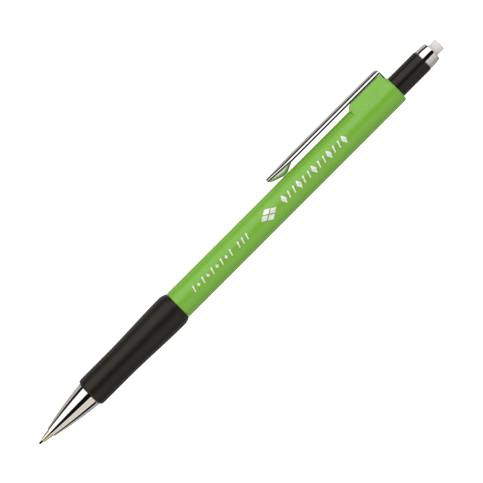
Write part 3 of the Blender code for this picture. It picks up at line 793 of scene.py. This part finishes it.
def make_tail():
    """The flat end of the sheet, which goes down into the notch behind the boss."""
    front, rear = CLIP_REAR - 0.36, CLIP_REAR - 0.02
    low, high, half_width = 3.65, 6.2, 1.45
    tail = rounded_block((front, low, -half_width), (rear, high, half_width), 0.05)
    add_piece("clip_tail", tail, "clip", "chrome")


def make_bump():
    """The boat-shaped bump that bears on the barrel. Its keel is nearest to the barrel at the
    share `lowest` of its length, and runs level there for a little way on either side."""
    front, rear = 89.1, 96.7
    lowest, level, power = 0.58, 0.13, 1.1
    roof, seat = 6.4, BARREL_RADIUS + 0.06
    front_rise, rear_rise = 1.3, 1.2
    widest, blunt = 1.3, 0.01
    stations, sides = 32, 16
    mesh_data = bmesh.new()
    rings = []
    for i in range(stations + 1):
        share = 0.5 - 0.5 * math.cos(math.pi * i / stations)
        ahead = share < lowest
        away = abs(share - lowest) / (lowest if ahead else 1 - lowest)
        rise = front_rise if ahead else rear_rise
        keel = seat + rise * max((away - level) / (1 - level), 0.0) ** power
        half = widest * math.sqrt(max(1 - (2 * share - 1) ** 2, blunt))
        x = front + (rear - front) * share
        ring = []
        for k in range(sides + 1):
            angle = math.pi * k / sides
            y = roof + (keel - roof) * math.sin(angle)
            ring.append(mesh_data.verts.new((x, y, half * math.cos(angle))))
        rings.append(ring)
    skin(mesh_data, rings, closed=False)
    cap_ends(mesh_data, rings)
    add_piece("clip_bump", mesh_data, "clip", "chrome")


# Button end -----------------------------------------------------------------


def make_twist_sleeve():
    """The black button, with a narrower lip inside its front."""
    front, rear = span("twist_sleeve")
    large, hole = reach("twist_sleeve"), 2.75
    lip_rear, lip = 110.8, bore("twist_sleeve")
    outline = [
        (front, lip),
        (front, large),
        (rear, large),
        (rear, hole),
        (lip_rear, hole),
        (lip_rear, lip),
    ]
    stand_in("twist_sleeve", turned(rounded(outline, 0.16), FINE))


def make_end_ring():
    """The chromed ring: a skirt inside the sleeve, a slightly tapered band and a rounded crown."""
    front, rear = span("end_ring")
    base = span("twist_sleeve")[1] + GAP
    large = reach("end_ring") + 0.07
    skirt, skirt_hole = 2.7, bore("end_ring", front, front + 0.01)
    mouth, mouth_edge = bore("end_ring"), 0.12
    crown, crown_middle = 0.3, large - 0.54
    outline = [
        (front, skirt_hole),
        (front, skirt),
        (base, skirt),
        (base, large - 0.12),
        (base + 0.1, large),
        (base + 1.3, large - 0.03),
        (base + 2.3, large - 0.1),
        *arc(rear - crown, crown_middle, crown, crown, 90, 0, 10),
        (rear, mouth + mouth_edge),
        (rear - mouth_edge, mouth),
        (base + 0.5, mouth),
        (base + 0.5, skirt_hole),
    ]
    stand_in("end_ring", turned(rounded(outline, 0.08), FINE))


def make_eraser():
    """The eraser, with a soft edge and a slightly domed end."""
    front, rear = span("eraser")
    large = reach("eraser")
    corner = 0.32
    outline = [
        (front, 0.0),
        (front, large),
        (rear - 2.0, large),
        *arc(rear - corner - 0.05, large - corner, corner, corner, 90, 12, 8),
        (rear - 0.02, large * 0.55),
        (rear, large * 0.25),
        (rear, 0.0),
    ]
    stand_in("eraser", turned(outline, MEDIUM))


# Inside ---------------------------------------------------------------------


def make_springs():
    """Round-wire springs that take the place of the CAD springs."""
    for node, joint, wire, turns, anchor_at_front in (
        ("chuck_spring", "push_button", 0.18, 9, True),
        ("cushion_spring", "cushion", 0.15, 6, False),
    ):
        front, rear = span(node)
        piece = stand_in(node, coil(front, rear, reach(node) - wire, wire, turns))
        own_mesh(piece)


def finish_nodes():
    """Every CAD node takes the detailed finish of its slot, those that stay in view among them."""
    for node, obj in frame["nodes"].items():
        obj.data.materials.clear()
        obj.data.materials.append(FINISHES[SLOT_OF[node]])


# Stage ----------------------------------------------------------------------


def camera_switch(nodes, links, seen, otherwise):
    """A level that is one value for the camera's rays and another for the rest."""
    path = nodes.new("ShaderNodeLightPath")
    mix = nodes.new("ShaderNodeMix")
    mix.inputs["A"].default_value = otherwise
    mix.inputs["B"].default_value = seen
    links.new(path.outputs["Is Camera Ray"], mix.inputs["Factor"])
    return mix.outputs["Result"]


def make_floor():
    """A plain white table. Polished pieces see the studio in its place."""
    side = 3.0
    square = [(-side, -side, 0), (side, -side, 0), (side, side, 0), (-side, side, 0)]
    mesh = bpy.data.meshes.new("floor")
    mesh.from_pydata(square, [], [(0, 1, 2, 3)])
    floor = bpy.data.objects.new("floor", mesh)
    floor.location.z = -0.00002
    floor.visible_glossy = False
    bpy.context.scene.collection.objects.link(floor)
    material = bpy.data.materials.new("floor")
    material.use_nodes = True
    nodes, links = material.node_tree.nodes, material.node_tree.links
    shader = nodes["Principled BSDF"]
    shader.inputs["Base Color"].default_value = (0.8, 0.8, 0.79, 1)
    shader.inputs["Roughness"].default_value = 0.9
    shader.inputs["Specular IOR Level"].default_value = 0.0
    shader.inputs["Emission Color"].default_value = (1, 1, 0.985, 1)
    level = camera_switch(nodes, links, seen=1.0, otherwise=0.02)
    links.new(level, shader.inputs["Emission Strength"])
    mesh.materials.append(material)


# What polished surfaces see round the pencil, as (degrees, brightness, warmth). Degrees go from
# the camera's side towards the clip's. The main band is white, with a black gap on either side.
STUDIO_LEVEL = (
    (-180, 0.5, 0.15), (-136, 0.32, 0.15), (-122, 0.36, 0.15), (-101, 0.32, 0.2),
    (-90, 0.4, 0.2), (-70, 0.53, 0.25), (-50, 0.57, 0.2), (-33, 0.72, 0.1), (-28, 0.65, 0.15),
    (-24, 0.005, 0.0), (12, 0.005, 0.0), (16, 1.15, 0.0), (72, 1.15, 0.0), (76, 0.006, 0.1),
    (96, 0.006, 0.1), (100, 0.5, 0.5), (131, 0.45, 0.4), (150, 0.66, 0.3), (180, 0.66, 0.15),
)
STUDIO_AHEAD = (
    (-180, 0.6, 0.15), (-136, 0.36, 0.3), (-121, 0.55, 0.4), (-112, 0.5, 0.3),
    (-108, 0.005, 0.0), (-85, 0.005, 0.0), (-81, 0.8, 0.7), (-71, 0.82, 0.8), (-62, 0.7, 0.9),
    (-41, 0.72, 0.9), (-33, 0.86, 0.7), (-28, 0.75, 0.5), (-24, 0.005, 0.0), (12, 0.005, 0.0),
    (16, 1.15, 0.0), (69, 1.15, 0.0), (73, 0.005, 0.1), (97, 0.005, 0.1), (101, 0.52, 0.7),
    (106, 0.54, 0.7), (131, 0.42, 0.6), (150, 0.66, 0.5), (180, 0.66, 0.15),
)
# The second set takes over from the first as a direction's part along x goes between these.
AHEAD_STARTS, AHEAD_FULL = -0.08, -0.2


def make_world():
    """A white room to the camera and an even one to matt surfaces. Polished surfaces see a
    studio's bands of light, which run along the pencil: one set level with it, and another from
    ahead of its tip."""
    world = bpy.data.worlds.new("studio")
    bpy.context.scene.world = world
    world.use_nodes = True
    world.cycles.sampling_method = "NONE"
    nodes, links = world.node_tree.nodes, world.node_tree.links
    direction = nodes.new("ShaderNodeTexCoord").outputs["Generated"]
    along, through_clip, sideways = PENCIL.to_3x3().col

    def part_along(axis):
        """How much of the ray's direction is along an axis."""
        dot = nodes.new("ShaderNodeVectorMath")
        dot.operation = "DOT_PRODUCT"
        dot.inputs[1].default_value = axis
        links.new(direction, dot.inputs[0])
        return dot.outputs["Value"]

    angle = nodes.new("ShaderNodeMath")
    angle.operation = "ARCTAN2"
    links.new(part_along(through_clip), angle.inputs[0])
    links.new(part_along(sideways), angle.inputs[1])
    share = nodes.new("ShaderNodeMapRange")
    share.inputs["From Min"].default_value = -math.pi
    share.inputs["From Max"].default_value = math.pi
    links.new(angle.outputs["Value"], share.inputs["Value"])

    def bands(table):
        """The light round the pencil that a table of the studio gives."""
        ramp = nodes.new("ShaderNodeValToRGB")
        stops = ramp.color_ramp.elements
        while len(stops) < len(table):
            stops.new(0.5)
        for stop, (degrees, level, warmth) in zip(stops, table):
            stop.position = (degrees + 180) / 360
            stop.color = (level, level * (1 - 0.1 * warmth), level * (1 - 0.22 * warmth), 1)
        links.new(share.outputs["Result"], ramp.inputs["Fac"])
        return ramp.outputs["Color"]

    ahead = nodes.new("ShaderNodeMapRange")
    ahead.inputs["From Min"].default_value = AHEAD_STARTS
    ahead.inputs["From Max"].default_value = AHEAD_FULL
    links.new(part_along(along), ahead.inputs["Value"])
    studio = nodes.new("ShaderNodeMix")
    studio.data_type = "RGBA"
    links.new(ahead.outputs["Result"], studio.inputs["Factor"])
    links.new(bands(STUDIO_LEVEL), studio.inputs["A"])
    links.new(bands(STUDIO_AHEAD), studio.inputs["B"])

    room = nodes.new("ShaderNodeMix")
    room.data_type = "RGBA"
    path = nodes.new("ShaderNodeLightPath")
    links.new(path.outputs["Is Glossy Ray"], room.inputs["Factor"])
    links.new(camera_switch(nodes, links, seen=1.1, otherwise=0.5), room.inputs["A"])
    links.new(studio.outputs["Result"], room.inputs["B"])
    links.new(room.outputs["Result"], nodes["Background"].inputs["Color"])


def place_at(obj, location, axes):
    """Put an object at a place in the frame, with its own x, y and z along the given axes."""
    obj.matrix_world = Matrix.Translation(location) @ Matrix(axes).transposed().to_4x4()


def make_softbox(name, low, high, radiance, colour):
    """A long softbox parallel to the pencil, which lights matt surfaces only. It fills the
    directions from low to high, in degrees round the pencil from the camera's side towards the
    clip's."""
    distance, length = 0.5, 1.5
    middle = math.radians((low + high) / 2)
    width = 2 * distance * math.tan(math.radians((high - low) / 2))
    light = bpy.data.lights.new(name, "AREA")
    light.shape = "RECTANGLE"
    light.size = length
    light.size_y = width
    light.energy = radiance * math.pi * length * width
    light.color = colour
    lamp = bpy.data.objects.new(name, light)
    bpy.context.scene.collection.objects.link(lamp)
    turn = PENCIL.to_3x3()
    towards = turn @ Vector((0, math.sin(middle), math.cos(middle)))
    across = turn @ Vector((0, math.cos(middle), -math.sin(middle)))
    centre = PENCIL @ Vector((60 * MM, 0, 0))
    place_at(lamp, centre + towards * distance, (Vector((1, 0, 0)), across, towards))
    lamp.visible_camera = False
    lamp.visible_glossy = False


def make_lights():
    """The main softbox on the clip's side, and a warmer one on the other side."""
    make_softbox("key", 8, 60, 1.6, (1, 1, 1))
    make_softbox("fill", -90, -26, 0.7, (1, 0.94, 0.88))


def make_camera():
    """Square on to the plane of the clip, with the pencil across the picture's diagonal."""
    camera_data = bpy.data.cameras.new("camera")
    camera = bpy.data.objects.new("camera", camera_data)
    bpy.context.scene.collection.objects.link(camera)
    bpy.context.scene.camera = camera
    distance = 1.0
    picture_width = 123.65 * MM
    aim_right, aim_up = 0.513 * MM, 0.587 * MM
    along, through_clip, towards = PENCIL.to_3x3().col
    right = (along - through_clip).normalized()
    up = (along + through_clip).normalized()
    middle = PENCIL @ Vector((72.5 * MM, 0, 0))
    camera_data.sensor_width = 36
    camera_data.lens = camera_data.sensor_width * distance / picture_width
    camera_data.clip_start = 0.01
    place = middle + right * aim_right + up * aim_up + towards * distance
    place_at(camera, place, (right, up, towards))


FINISHES = make_finishes()
finish_nodes()
make_guide(make_cone())
make_lead()
make_grip()
make_barrel()
make_print()
make_clip()
make_twist_sleeve()
make_end_ring()
make_eraser()
make_springs()
make_floor()
make_world()
make_lights()
make_camera()
bpy.context.scene.view_settings.view_transform = "Standard"
